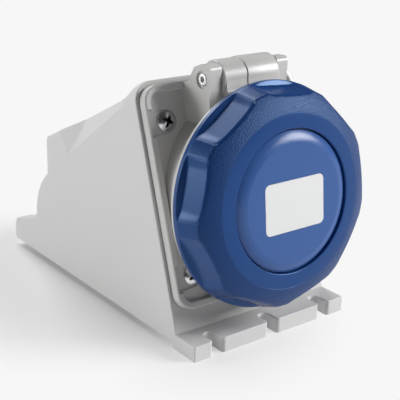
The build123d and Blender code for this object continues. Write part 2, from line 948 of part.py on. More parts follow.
with BuildPart() as lid_seal:
    revolve(
        turned(
            [
                (lid_seal_inner, lid_seal_back),
                (lid_seal_outer, lid_seal_back),
                (lid_seal_outer, lid_seal_front),
                (lid_seal_inner, lid_seal_front),
            ]
        ),
        axis=collar_axis,
    )
lid_seal.part.label = "lid_seal"
export_step(lid_seal.part, "parts/lid_seal.step")

with BuildPart() as lid_screws:
    with BuildSketch(collar_plane.offset(lid_pad_back)):
        with PolarLocations(lid_screw_ring, 3, pillar_angles[0]):
            Circle(lid_screw_head)
    extrude(amount=-lid_screw_radius)
    with BuildSketch(collar_plane.offset(lid_pad_back)):
        with PolarLocations(lid_screw_ring, 3, pillar_angles[0]):
            Circle(lid_screw_radius)
    extrude(amount=dome_flange_back - lid_pad_back - lid_screw_gap)
lid_screws.part.label = "lid_screws"
export_step(lid_screws.part, "parts/lid_screws.step")

# Closing spring round the pin, in the barrel's pocket
with BuildPart() as lid_spring:
    with BuildSketch(Plane(origin=coil_start, z_dir=coil.line % 0)):
        Circle(spring_wire)
    sweep(path=coil.line, is_frenet=True)
    # fixed leg, which hooks into the ear
    with BuildSketch(leg_plane.offset(-coil_start.X - ear_inner)):
        Circle(spring_wire)
    extrude(amount=spring_leg + coil_start.X + ear_inner - spring_leg_gap)
lid_spring.part.label = "lid_spring"
export_step(lid_spring.part, "parts/lid_spring.step")

# Contacts, in an insulating carrier
line_place = (
    contact_pitch * math.cos(math.radians(contact_rise)),
    contact_pitch * math.sin(math.radians(contact_rise)),
)
places = {
    "contact_line": (line_place, line_pin_radius),
    "contact_neutral": ((-line_place[0], line_place[1]), line_pin_radius),
    "contact_earth": ((0, -contact_pitch), earth_pin_radius),
}
clip_room = spring_clip_wall + carrier_bore_clearance
carrier_flange_back = shelf_back - carrier_web

with BuildPart() as contact_carrier:
    revolve(
        turned(
            [
                (0, carrier_flange_back),
                (carrier_flange_radius - carrier_rim, carrier_flange_back),
                (carrier_flange_radius - carrier_rim, skirt_back),
                (carrier_flange_radius, skirt_back),
                (carrier_flange_radius, shelf_back),
                (carrier_radius, shelf_back),
                (carrier_radius, carrier_front),
                (0, carrier_front),
            ]
        ),
        axis=collar_axis,
    )
    for place, pin in places.values():
        with BuildSketch(collar_plane.offset(carrier_front)):
            with Locations(place):
                Circle(pin + pin_entry_clearance)
        extrude(amount=-carrier_front, mode=Mode.SUBTRACT)
        with BuildSketch(collar_plane.offset(carrier_front - carrier_front_wall)):
            with Locations(place):
                Circle(pin + pin_slide_clearance + sleeve_wall + clip_room)
        extrude(amount=-2 * carrier_front, mode=Mode.SUBTRACT)
contact_carrier.part.label = "contact_carrier"
export_step(contact_carrier.part, "parts/contact_carrier.step")

terminal_depths = [
    terminal_back + terminal_screw_first,
    terminal_back + terminal_screw_first + terminal_screw_pitch,
]
for name, (place, pin) in places.items():
    sleeve_bore = pin + pin_slide_clearance
    sleeve_radius = sleeve_bore + sleeve_wall
    outward = math.degrees(math.atan2(place[1], place[0]))
    with BuildPart() as contact:
        with BuildSketch(collar_plane.offset(terminal_back)):
            with Locations(place):
                Circle(sleeve_radius)
        extrude(amount=contact_front - terminal_back)
        # collar that the back cover traps
        with BuildSketch(collar_plane.offset(carrier_flange_back)):
            with Locations(place):
                Circle(sleeve_radius + clip_room + contact_collar)
        extrude(amount=skirt_back - carrier_flange_back)
        with BuildSketch(collar_plane.offset(contact_pin_depth)):
            with Locations(place):
                Circle(sleeve_bore)
        extrude(amount=contact_front, mode=Mode.SUBTRACT)
        with BuildSketch(collar_plane.offset(terminal_back)):
            with Locations(place):
                Circle(wire_bore_radius)
        extrude(amount=wire_bore_depth, mode=Mode.SUBTRACT)
        # crossed slots that let the mouth spring open
        with BuildSketch(collar_plane.offset(contact_slot_back)):
            with Locations(Location((*place, 0), (0, 0, outward))):
                Rectangle(3 * sleeve_radius, contact_slot)
                Rectangle(contact_slot, 3 * sleeve_radius)
        extrude(amount=contact_front, mode=Mode.SUBTRACT)
        for depth in terminal_depths:
            radial = math.radians(outward)
            screw_plane = Plane(
                origin=collar_plane.from_local_coords((*place, depth)),
                z_dir=collar_plane.x_dir * math.cos(radial) + collar_plane.y_dir * math.sin(radial),
            )
            with BuildSketch(screw_plane):
                Circle(terminal_screw_radius + fit_clearance)
            extrude(amount=2 * sleeve_radius, mode=Mode.SUBTRACT)
    contact.part.label = name
    export_step(contact.part, f"parts/{name}.step")

with BuildPart() as contact_springs:
    for place, pin in places.values():
        clip_inner = pin + pin_slide_clearance + sleeve_wall
        outward = math.degrees(math.atan2(place[1], place[0]))
        with BuildSketch(collar_plane.offset(spring_clip_front)):
            with Locations(Location((*place, 0), (0, 0, outward + spring_clip_turn))):
                Circle(clip_inner + spring_clip_wall)
                Circle(clip_inner, mode=Mode.SUBTRACT)
                with Locations((clip_inner, 0)):
                    Rectangle(2 * spring_clip_wall + clip_inner, spring_clip_gap, mode=Mode.SUBTRACT)
        extrude(amount=-spring_clip_length)
contact_springs.part.label = "contact_springs"
export_step(contact_springs.part, "parts/contact_springs.step")

with BuildPart() as terminal_screws:
    for place, pin in places.values():
        head = pin + pin_slide_clearance + sleeve_wall + terminal_screw_proud
        radial = math.atan2(place[1], place[0])
        for depth in terminal_depths:
            screw_plane = Plane(
                origin=collar_plane.from_local_coords((*place, depth)),
                z_dir=collar_plane.x_dir * math.cos(radial) + collar_plane.y_dir * math.sin(radial),
            )
            with BuildSketch(screw_plane.offset(head)):
                Circle(terminal_screw_radius)
            extrude(amount=wire_bore_radius - head)
            with BuildSketch(screw_plane.offset(head)):
                Rectangle(2 * terminal_screw_radius, terminal_slot_width)
            extrude(amount=-terminal_slot_depth, mode=Mode.SUBTRACT)
terminal_screws.part.label = "terminal_screws"
export_step(terminal_screws.part, "parts/terminal_screws.step")

with BuildPart() as carrier_cover:
    with BuildSketch(collar_plane.offset(skirt_back)):
        Circle(cover_radius)
        for place, pin in places.values():
            with Locations(place):
                Circle(
                    pin + pin_slide_clearance + sleeve_wall + carrier_bore_clearance,
                    mode=Mode.SUBTRACT,
                )
        with PolarLocations(cover_screw_ring, 3, cover_screw_start):
            Circle(cover_screw_radius + hole_clearance, mode=Mode.SUBTRACT)
    extrude(amount=-cover_thickness)
carrier_cover.part.label = "carrier_cover"
export_step(carrier_cover.part, "parts/carrier_cover.step")

with BuildPart() as cover_screws:
    with BuildSketch(collar_plane.offset(skirt_back - cover_thickness)):
        with PolarLocations(cover_screw_ring, 3, cover_screw_start):
            Circle(cover_screw_head)
    extrude(amount=-cover_screw_head_height)
    with BuildSketch(collar_plane.offset(skirt_back - cover_thickness)):
        with PolarLocations(cover_screw_ring, 3, cover_screw_start):
            Circle(cover_screw_radius)
    extrude(amount=cover_thickness + cover_screw_length - cover_screw_gap)
cover_screws.part.label = "cover_screws"
export_step(cover_screws.part, "parts/cover_screws.step")

# Plug and washer in the cable entry
with BuildPart() as entry_seal:
    with BuildSketch(entry_plane):
        Circle(entry_seal_radius)
        Circle(entry_radius, mode=Mode.SUBTRACT)
    extrude(amount=entry_seal_thickness)
entry_seal.part.label = "entry_seal"
export_step(entry_seal.part, "parts/entry_seal.step")

with BuildPart() as entry_plug:
    with BuildSketch(entry_plane.offset(entry_seal_thickness)):
        Circle(entry_plug_radius)
    extrude(amount=entry_plug_head)
    with BuildSketch(entry_plane.offset(entry_seal_thickness)):
        Circle(entry_radius - entry_plug_clearance)
    extrude(amount=-entry_seal_thickness - entry_plug_depth)
    with BuildSketch(entry_plane.offset(-entry_plug_depth)):
        Circle(entry_plug_bore)
    extrude(amount=entry_plug_depth, mode=Mode.SUBTRACT)
    with BuildSketch(entry_plane.offset(entry_seal_thickness + entry_plug_head)):
        Rectangle(entry_slot_length, entry_slot_width)
    extrude(amount=-entry_slot_depth, mode=Mode.SUBTRACT)
entry_plug.part.label = "entry_plug"
export_step(entry_plug.part, "parts/entry_plug.step")
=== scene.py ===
import math

import bmesh
import bpy
import numpy as np
from mathutils import Matrix, Vector


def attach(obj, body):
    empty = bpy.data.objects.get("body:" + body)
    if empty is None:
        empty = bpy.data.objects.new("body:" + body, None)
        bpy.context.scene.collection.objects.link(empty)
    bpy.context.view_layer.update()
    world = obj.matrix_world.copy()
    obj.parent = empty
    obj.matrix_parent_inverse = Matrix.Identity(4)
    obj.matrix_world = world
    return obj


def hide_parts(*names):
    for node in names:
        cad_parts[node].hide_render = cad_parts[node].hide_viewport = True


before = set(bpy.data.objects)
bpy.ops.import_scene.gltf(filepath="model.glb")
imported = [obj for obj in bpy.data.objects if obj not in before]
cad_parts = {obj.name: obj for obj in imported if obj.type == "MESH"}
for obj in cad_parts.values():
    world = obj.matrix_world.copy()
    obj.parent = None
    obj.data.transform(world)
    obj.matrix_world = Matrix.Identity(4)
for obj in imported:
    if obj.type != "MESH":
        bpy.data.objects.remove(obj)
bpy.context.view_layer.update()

mm = 0.001
print("scene: frame loaded,", len(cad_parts), "nodes")

# Sloping face and collar, in mm and degrees: the face starts above the origin, and the collar
# stands on it and leans less
face = {"tilt": 18.0, "foot": 7.4, "collarUp": 59.0, "collarTilt": 6.0}


def inMetres(x, y, z):
    # three arrays in mm, spread to one grid, as points of the frame
    return np.stack([x + 0 * y, y, z + 0 * x], axis=-1) * mm


def facePoint(up, out):
    # side view: y = up sin(tilt) - out cos(tilt), z = foot + up cos(tilt) + out sin(tilt)
    lean = math.radians(face["tilt"])
    y = up * math.sin(lean) - out * math.cos(lean)
    z = face["foot"] + up * math.cos(lean) + out * math.sin(lean)
    return y, z


def onFace(x, up, out):
    # points across, up and out of the sloping face
    return inMetres(x, *facePoint(up, out))


def onCollar(x, up, axial):
    # points across, up and along the collar's axis, turned as on the face but by its own tilt
    lean = math.radians(face["collarTilt"])
    y0, z0 = facePoint(face["collarUp"], 0)
    y = y0 + up * math.sin(lean) - axial * math.cos(lean)
    z = z0 + up * math.cos(lean) + axial * math.sin(lean)
    return inMetres(x, y, z)


def meshPiece(name, points, faces, material, body, smooth=True):
    # points: (n, 3) array in metres; faces: corner numbers, three or four to a row
    mesh = bpy.data.meshes.new(name)
    mesh.vertices.add(len(points))
    mesh.vertices.foreach_set("co", np.ascontiguousarray(points, np.float32).ravel())
    mesh.loops.add(faces.size)
    mesh.loops.foreach_set("vertex_index", np.ascontiguousarray(faces, np.int32).ravel())
    mesh.polygons.add(len(faces))
    starts = np.arange(0, faces.size, faces.shape[1], dtype=np.int32)
    mesh.polygons.foreach_set("loop_start", starts)
    mesh.update(calc_edges=True)
    mesh.validate()
    mesh.polygons.foreach_set("use_smooth", np.full(len(mesh.polygons), smooth))
    mesh.materials.append(material)
    piece = bpy.data.objects.new(name, mesh)
    bpy.context.scene.collection.objects.link(piece)
    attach(piece, body)
    return piece


def gridFaces(rows, columns, closeRows=False, closeColumns=True):
    # quads of a grid numbered row by row; closing joins the last row or column to the first
    row = np.arange(rows if closeRows else rows - 1)
    column = np.arange(columns if closeColumns else columns - 1)
    row, column = (numbers.ravel() for numbers in np.meshgrid(row, column, indexing="ij"))
    nextRow = (row + 1) % rows
    nextColumn = (column + 1) % columns
    return np.stack([
        row * columns + column, row * columns + nextColumn,
        nextRow * columns + nextColumn, nextRow * columns + column,
    ], 1)


def sweptFaces(count, stations):
    # quads of a closed outline carried along stations, with both ends closed; the outline's
    # point k lies across from its point count - 1 - k
    faces = [gridFaces(count, stations, closeRows=True, closeColumns=False)]
    pairs = np.arange(count // 2 - 1)
    for station in (0, stations - 1):
        rim = np.arange(count) * stations + station
        corners = [rim[pairs], rim[pairs + 1], rim[-2 - pairs], rim[-1 - pairs]]
        faces.append(np.stack(corners, 1))
    return np.vstack(faces)


def joined(parts):
    # several (points, faces) meshes as one
    points, faces, count = [], [], 0
    for somePoints, someFaces in parts:
        points.append(somePoints)
        faces.append(someFaces + count)
        count += len(somePoints)
    return np.vstack(points), np.vstack(faces)


def turnedMesh(section, steps, place):
    # a closed section (radius, along) turned in full: the point at an angle is
    # (radius cos(angle), radius sin(angle), along), which place puts in the frame
    turn = np.linspace(0, 2 * math.pi, steps, endpoint=False)[None]
    radius, along = section[:, :1], section[:, 1:]
    points = place(radius * np.cos(turn), radius * np.sin(turn), along + 0 * turn)
    return points.reshape(-1, 3), gridFaces(len(section), steps, closeRows=True)


def outward(piece, sharp=None):
    # makes every face point out of the closed mesh, and keeps edges over an angle crisp
    work = bmesh.new()
    work.from_mesh(piece.data)
    bmesh.ops.recalc_face_normals(work, faces=work.faces)
    work.to_mesh(piece.data)
    work.free()
    if sharp is not None:
        piece.data.set_sharp_from_angle(angle=math.radians(sharp))


def paint(piece, name, values):
    # a value at each point, which a material reads by its name
    attribute = piece.data.attributes.new(name, "FLOAT", "POINT")
    attribute.data.foreach_set("value", np.ascontiguousarray(values, np.float32))


def roundedOutline(corners, radii, steps=5):
    # closed outline whose corners are arcs (1 - t)^2 start + 2 t (1 - t) corner + t^2 end, where
    # start and end lie one radius away from the corner on its two sides
    corners = np.array(corners, float)
    before = np.roll(corners, 1, 0)
    after = np.roll(corners, -1, 0)
    reach = np.array(radii, float)[:, None]
    toBefore = (before - corners) / np.linalg.norm(before - corners, axis=1, keepdims=True)
    toAfter = (after - corners) / np.linalg.norm(after - corners, axis=1, keepdims=True)
    t = np.linspace(0, 1, steps)[None, :, None]
    start = (corners + toBefore * reach)[:, None]
    end = (corners + toAfter * reach)[:, None]
    arcs = (1 - t) ** 2 * start + 2 * t * (1 - t) * corners[:, None] + t ** 2 * end
    return arcs.reshape(-1, 2)


def barSection(inner, outer, back, front, soft, steps=5):
    # rectangle (radius, along) with rounded corners
    corners = [(inner, back), (inner, front), (outer, front), (outer, back)]
    return roundedOutline(corners, [soft] * len(corners), steps)


def addNode(tree, kind, sockets=(), **settings):
    # a node with its settings; each of sockets is a pair of a socket's name or number and what
    # feeds it, which is another node's output or a value
    node = tree.nodes.new(kind)
    for key, value in settings.items():
        setattr(node, key, value)
    for socket, source in sockets:
        if isinstance(source, bpy.types.NodeSocket):
            tree.links.new(source, node.inputs[socket])
        else:
            node.inputs[socket].default_value = source
    return node


# Camera, where the photograph was taken from: metres, degrees, and mm for lens and sensor
camera = {
    "place": (-0.267895, -0.301233, 0.206243),
    "azimuth": 37.906, "down": 19.827, "roll": 1.453,
    "lens": 85.5, "sensor": 36.0,
    "near": 0.01, "far": 30.0,
}


def makeCamera():
    # level and upright span the picture before the roll, right and up after it
    azimuth, down, roll = (math.radians(camera[key]) for key in ("azimuth", "down", "roll"))
    ahead = Vector((
        math.sin(azimuth) * math.cos(down), math.cos(azimuth) * math.cos(down), -math.sin(down),
    ))
    level = Vector((math.cos(azimuth), -math.sin(azimuth), 0))
    upright = level.cross(ahead)
    right = math.cos(roll) * level + math.sin(roll) * upright
    up = -math.sin(roll) * level + math.cos(roll) * upright
    data = bpy.data.cameras.new("camera")
    data.lens = camera["lens"]
    data.sensor_width = camera["sensor"]
    data.sensor_fit = "HORIZONTAL"
    data.clip_start = camera["near"]
    data.clip_end = camera["far"]
    eye = bpy.data.objects.new("camera", data)
    turn = Matrix((right, up, -ahead)).transposed().to_4x4()
    eye.matrix_world = Matrix.Translation(camera["place"]) @ turn
    bpy.context.scene.collection.objects.link(eye)
    bpy.context.scene.camera = eye


makeCamera()

# Lamps, in metres: level is how bright a white surface that faces the lamp gets
lamps = {
    "target": (0.0, 0.02, 0.06),
    "key": {"from": (0.77, -0.64, 0.45), "distance": 2.6, "size": 1.3, "level": 1.05},
    "back": {"from": (0.1, 0.8, 0.75), "distance": 2.6, "size": 1.5, "level": 0.68},
    "left": {"from": (-0.87, 0.65, 0.3), "distance": 2.6, "size": 1.2, "level": 0.5},
    "world": 0.05,
    "backdrop": 0.93,
}


def addLamp(name):
    # a disc lamp lights a facing white surface to power / (pi^2 distance^2)
    values = lamps[name]
    away = Vector(values["from"]).normalized()
    data = bpy.data.lights.new(name, "AREA")
    data.shape = "DISK"
    data.size = values["size"]
    data.energy = values["level"] * math.pi ** 2 * values["distance"] ** 2
    lamp = bpy.data.objects.new(name, data)
    lamp.location = Vector(lamps["target"]) + away * values["distance"]
    lamp.rotation_euler = away.to_track_quat("Z", "Y").to_euler()
    bpy.context.scene.collection.objects.link(lamp)


for lampName in ("key", "back", "left"):
    addLamp(lampName)


def makeWorld():
    # a pale backdrop for the camera, and little light from all round
    world = bpy.data.worlds.new("studio")
    world.use_nodes = True
    bpy.context.scene.world = world
    tree = world.node_tree
    path = addNode(tree, "ShaderNodeLightPath")
    level = addNode(tree, "ShaderNodeMapRange", [
        ("Value", path.outputs["Is Camera Ray"]),
        ("To Min", lamps["world"]), ("To Max", lamps["backdrop"]),
    ])
    background = tree.nodes["Background"]
    background.inputs["Color"].default_value = (1, 1, 1, 1)
    tree.links.new(level.outputs["Result"], background.inputs["Strength"])


makeWorld()
bpy.context.scene.view_settings.view_transform = "Standard"
print("scene: camera and lamps")

# Mould grain, the group that plastics and metals share: noise scales per metre, and details
grainLook = {"fine": 2200.0, "fineDetail": 3.0, "slow": 28.0, "slowDetail": 2.0}


def newGroup(name, inputs, outputs):
    # an empty shader group with float inputs (label, value) and float outputs, and its two ends
    group = bpy.data.node_groups.new(name, "ShaderNodeTree")
    for label, value in inputs:
        socket = group.interface.new_socket(
            label, in_out="INPUT", socket_type="NodeSocketFloat"
        )
        socket.default_value = value
    for label in outputs:
        group.interface.new_socket(label, in_out="OUTPUT", socket_type="NodeSocketFloat")
    return group, group.nodes.new("NodeGroupInput"), group.nodes.new("NodeGroupOutput")


def makeMouldGrain():
    # spark-eroded grain: fine noise for bump and gloss, and slow blotches for colour
    group, entry, leave = newGroup(
        "mouldGrain",
        [("Grain Scale", grainLook["fine"]), ("Blotch Scale", grainLook["slow"])],
        ["Height", "Blotch"],
    )
    place = addNode(group, "ShaderNodeTexCoord").outputs["Object"]
    fine = addNode(group, "ShaderNodeTexNoise", [
        ("Vector", place), ("Scale", entry.outputs["Grain Scale"]),
        ("Detail", grainLook["fineDetail"]),
    ])
    slow = addNode(group, "ShaderNodeTexNoise", [
        ("Vector", place), ("Scale", entry.outputs["Blotch Scale"]),
        ("Detail", grainLook["slowDetail"]),
    ])
    group.links.new(fine.outputs["Fac"], leave.inputs["Height"])
    group.links.new(slow.outputs["Fac"], leave.inputs["Blotch"])
    return group


mouldGrain = makeMouldGrain()


def startMaterial(name, color, roughness, metallic=0.0):
    material = bpy.data.materials.new(name)
    material.use_nodes = True
    shader = material.node_tree.nodes["Principled BSDF"]
    shader.inputs["Base Color"].default_value = (*color, 1)
    shader.inputs["Roughness"].default_value = roughness
    shader.inputs["Metallic"].default_value = metallic
    return material, material.node_tree, shader


def addGrain(tree, scale):
    # the outputs of the mould grain at a scale of its own
    return addNode(
        tree, "ShaderNodeGroup", [("Grain Scale", scale)], node_tree=mouldGrain
    ).outputs


def addMix(tree, share, first, second):
    # from the first colour to the second, as the share goes from 0 to 1
    mix = addNode(
        tree, "ShaderNodeMix",
        [("Factor", share), ("A", (*first, 1)), ("B", (*second, 1))], data_type="RGBA",
    )
    return mix.outputs["Result"]


def addRange(tree, value, low, high):
    # from low to high, as the value goes from 0 to 1
    spread = addNode(
        tree, "ShaderNodeMapRange", [("Value", value), ("To Min", low), ("To Max", high)]
    )
    return spread.outputs["Result"]


def addRelief(tree, height, strength, depth):
    relief = addNode(
        tree, "ShaderNodeBump",
        [("Height", height), ("Strength", strength), ("Distance", depth)],
    )
    return relief.outputs["Normal"]


# Moulded plastics: blotch is the share of the colour that the darker blotches keep
plastics = {
    "housingGrey": {"color": (0.7, 0.695, 0.692), "blotch": 0.97, "roughness": 0.48,
                    "grain": 2400, "relief": 0.25, "ior": 1.5},
    "flangeGrey": {"color": (0.62, 0.615, 0.605), "blotch": 0.97, "roughness": 0.3,
                   "grain": 2400, "relief": 0.12, "ior": 1.5},
    "carrierGrey": {"color": (0.09, 0.095, 0.1), "blotch": 0.9, "roughness": 0.45,
                    "grain": 2000, "relief": 0.2, "ior": 1.5},
    "domeBlue": {"color": (0.042, 0.113, 0.34), "blotch": 0.96, "roughness": 0.24,
                 "grain": 3000, "relief": 0.2, "ior": 1.38},
    "labelWhite": {"color": (0.78, 0.785, 0.79), "blotch": 0.99, "roughness": 0.5,
                   "grain": 1500, "relief": 0.1, "ior": 1.5},
    "sealRubber": {"color": (0.03, 0.03, 0.032), "blotch": 0.8, "roughness": 0.6,
                   "grain": 1800, "relief": 0.3, "ior": 1.5},
}
plasticSkin = {"glossSpread": 0.05, "reliefDepth": 0.0001}


def makePlastic(name):
    # two near colours blotched together, roughness that follows the grain, and a fine bump
    look = plastics[name]
    roughness, spread = look["roughness"], plasticSkin["glossSpread"]
    material, tree, shader = startMaterial(name, look["color"], roughness)
    shader.inputs["IOR"].default_value = look["ior"]
    grain = addGrain(tree, look["grain"])
    darker = [channel * look["blotch"] for channel in look["color"]]
    tint = addMix(tree, grain["Blotch"], look["color"], darker)
    gloss = addRange(tree, grain["Height"], roughness - spread, roughness + spread)
    relief = addRelief(tree, grain["Height"], look["relief"], plasticSkin["reliefDepth"])
    tree.links.new(tint, shader.inputs["Base Color"])
    tree.links.new(gloss, shader.inputs["Roughness"])
    tree.links.new(relief, shader.inputs["Normal"])
    return material


# Lock ring's blue: the smooth skin, and the grained skin where the mesh says grain
ringLook = {
    "color": (0.012, 0.053, 0.205), "grained": (0.009, 0.04, 0.165), "sheen": (0.35, 0.6, 1.0),
    "gloss": 0.27, "dull": 0.38, "grainScale": 1800, "grainDepth": 0.0003, "relief": 0.85,
}


def makeRingBlue():
    # glossy with a bluish sheen; grain darkens it, dulls it and raises a coarse relief
    look = ringLook
    material, tree, shader = startMaterial("ringBlue", look["color"], look["gloss"])
    shader.inputs["Specular Tint"].default_value = (*look["sheen"], 1)
    zone = addNode(tree, "ShaderNodeAttribute", attribute_name="grain").outputs["Fac"]
    grain = addGrain(tree, look["grainScale"])
    tint = addMix(tree, zone, look["color"], look["grained"])
    gloss = addRange(tree, zone, look["gloss"], look["dull"])
    height = addNode(
        tree, "ShaderNodeMath", [(0, grain["Height"]), (1, zone)], operation="MULTIPLY"
    )
    relief = addRelief(tree, height.outputs[0], look["relief"], look["grainDepth"])
    tree.links.new(tint, shader.inputs["Base Color"])
    tree.links.new(gloss, shader.inputs["Roughness"])
    tree.links.new(relief, shader.inputs["Normal"])
    return material


# Metals: the grain runs the roughness between two shares of its value, and sunk is the share
# of the colour that is left where the mesh says recess, which paints shade into the recess
metals = {
    "screwChrome": {"color": (0.72, 0.72, 0.73), "roughness": 0.24, "grain": 900},
    "pinSteel": {"color": (0.9, 0.9, 0.91), "roughness": 0.5, "grain": 1200},
    "contactBrass": {"color": (0.72, 0.52, 0.2), "roughness": 0.25, "grain": 800},
}
metalSkin = {"smooth": 0.6, "rough": 1.4, "sunk": 0.06}


def makeMetal(name):
    # uneven roughness, so that the metal isn't a perfect mirror, and painted shade in the recess
    look = metals[name]
    roughness = look["roughness"]
    material, tree, shader = startMaterial(name, look["color"], roughness, metallic=1.0)
    zone = addNode(tree, "ShaderNodeAttribute", attribute_name="recess").outputs["Fac"]
    # painted shade: the colour darkened where the mesh says recess
    paintedShade = [channel * metalSkin["sunk"] for channel in look["color"]]
    shade = addMix(tree, zone, look["color"], paintedShade)
    grain = addGrain(tree, look["grain"])
    gloss = addRange(
        tree, grain["Height"], roughness * metalSkin["smooth"], roughness * metalSkin["rough"]
    )
    tree.links.new(shade, shader.inputs["Base Color"])
    tree.links.new(gloss, shader.inputs["Roughness"])
    return material


materials = {name: makePlastic(name) for name in plastics}
materials["ringBlue"] = makeRingBlue()
for metalName in metals:
    materials[metalName] = makeMetal(metalName)
print("scene: materials")

# Which material each solid of the frame wears
wornBy = {
    "housingGrey": ("wall_box", "entry_plug"),
    "flangeGrey": ("socket_flange", "lid_arm"),
    "carrierGrey": ("contact_carrier", "carrier_cover"),
    "domeBlue": ("lid_dome",),
    "labelWhite": ("label_plate",),
    "sealRubber": ("box_seal", "lid_seal", "entry_seal"),
    "ringBlue": ("lock_ring",),
    "screwChrome": ("flange_screws", "lid_screws", "terminal_screws", "cover_screws"),
    "pinSteel": ("hinge_pin", "lid_spring", "contact_springs"),
    "contactBrass": ("contact_line", "contact_neutral", "contact_earth"),
}
for materialName, nodeNames in wornBy.items():
    for nodeName in nodeNames:
        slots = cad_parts[nodeName].data.materials
        slots.clear()
        slots.append(materials[materialName])
print("scene: solids dressed")

# Lock ring, in mm and degrees: radius from the collar's axis, and places along it
lockRing = {
    "hole": 31.9, "front": 41.2, "stepRadius": 38.6, "stepFront": 40.6,
    "crownRadius": 48.4, "crownFront": 36.4, "crownBulge": 0.45,
    "radius": 51.1, "rimFront": 26.0, "back": 22.9, "bore": 42.8,
    "ceilingEdge": 35.9, "ceilingRadius": 39.0, "ceiling": 38.4,
    # rounding of the section's corners, in the order of ringSection
    "soft": (0.3, 0.7, 0.3, 0.9, 0.5, 0.6, 0.3, 0.5, 0.5), "cornerSteps": 6,
    # grip flats: distance from the axis at the rim's front, half widths without and with ramps
    "flats": 9, "firstFlat": 5.5, "flatDistance": 48.6, "flatLean": 12.3,
    "halfFlat": 11.4, "halfWidth": 14.2, "rampRise": 0.9,
    # where the cuts start along the axis, how softly, and the wall over the bore that they leave
    "cutStart": 25.2, "stepSoft": 1.2, "edgeSoft": 1.0, "boreWall": 0.8,
    # grid: steps round, run between points outside, and the finer run where the cuts start
    "steps": 720, "runLength": 0.9, "fineInside": 1.0,
    "stepRun": 0.2, "stepBefore": 0.2, "stepAfter": 1.6,
    "lugInner": 35.8, "lugSink": 0.5, "lugThickness": 2.6, "lugSpread": 20.0,
    "lugAngles": (67.0, 187.0, 307.0), "lugSoft": 0.35,
    # grain: full on the cone, a share on the rim, none where a cut is deeper than bareDepth
    "coneIn": 0.2, "coneBack": 0.6, "rimIn": 0.5, "rimGrain": 0.35, "bareDepth": 0.12,
}


def softMin(a, b, softness):
    # the smaller of two values; with h from 0 to 1 across the crossing it is
    # b + (a - b) h - softness h (1 - h), which rounds the corner between them
    h = np.clip(0.5 + 0.5 * (b - a) / softness, 0, 1)
    return b + (a - b) * h - softness * h * (1 - h)


def gripRadius(angle, along):
    # radius at which the grip cuts start: a flat at some distance shows at distance / cos(off),
    # where off is the angle from its middle, and a ramp is a line through the flat's end; both
    # sink with the place along, because they lean in forwards, and the larger radius counts
    size = lockRing
    pitch = 360.0 / size["flats"]
    off = np.abs((angle - size["firstFlat"] + pitch / 2) % pitch - pitch / 2)
    off = np.radians(off)
    sunk = (along - size["rimFront"]) * math.tan(math.radians(size["flatLean"]))
    flat = (size["flatDistance"] - sunk) / np.cos(off)
    run = np.array([size["rampRise"], size["halfWidth"] - size["halfFlat"]])
    across, aside = run[1] / np.hypot(*run), run[0] / np.hypot(*run)
    reach = across * size["flatDistance"] - aside * size["halfFlat"] - sunk
    ramp = reach / (across * np.cos(off) - aside * np.sin(off))
    return -softMin(-flat, -ramp, size["edgeSoft"])


def subdivided(section, step, low=-math.inf, high=math.inf):
    # extra points on the outer straight runs of a closed section, between two places along
    inner = lockRing["stepRadius"] - lockRing["fineInside"]
    points = []
    for start, end in zip(section, np.roll(section, -1, 0)):
        middle = (start[1] + end[1]) / 2
        chosen = low <= middle <= high and min(start[0], end[0]) > inner
        parts = max(1, int(np.hypot(*(end - start)) / step)) if chosen else 1
        share = np.linspace(0, 1, parts, endpoint=False)[:, None]
        points.append(start + (end - start) * share)
    return np.vstack(points)


def ringSection():
    # closed outline (radius, along); at the share t of the chord from step to crown, the cone
    # stands out from the chord by 4 t (1 - t) times the bulge
    size = lockRing
    step = np.array((size["stepRadius"], size["stepFront"]))
    crown = np.array((size["crownRadius"], size["crownFront"]))
    corners = [
        (size["hole"], size["ceiling"]), (size["hole"], size["front"]), step, crown,
        (size["radius"], size["rimFront"]), (size["radius"], size["back"]),
        (size["bore"], size["back"]), (size["bore"], size["ceilingEdge"]),
        (size["ceilingRadius"], size["ceiling"]),
    ]
    section = roundedOutline(corners, size["soft"], size["cornerSteps"])
    section = subdivided(section, size["runLength"])
    section = subdivided(section, size["stepRun"], size["cutStart"] - size["stepBefore"],
                         size["cutStart"] + size["stepAfter"])
    chord = crown - step
    out = np.array((-chord[1], chord[0])) / np.hypot(*chord)
    t = (section - step) @ chord / (chord @ chord)
    near = np.abs((section - step) @ out) < size["crownBulge"]
    lift = np.where(near & (t > 0) & (t < 1), 4 * t * (1 - t), 0)
    return section + lift[:, None] * size["crownBulge"] * out


def arcBlock(inner, outer, back, front, centre, spread, soft, steps=24):
    # a rounded block bent about the collar's axis, closed at both ends
    section = barSection(inner, outer, back, front, soft, steps=4)
    turn = np.radians(np.linspace(-0.5, 0.5, steps) * spread + centre)[None]
    radius, along = section[:, :1], section[:, 1:]
    points = onCollar(radius * np.cos(turn), radius * np.sin(turn), along + 0 * turn)
    return points.reshape(-1, 3), sweptFaces(len(section), steps)


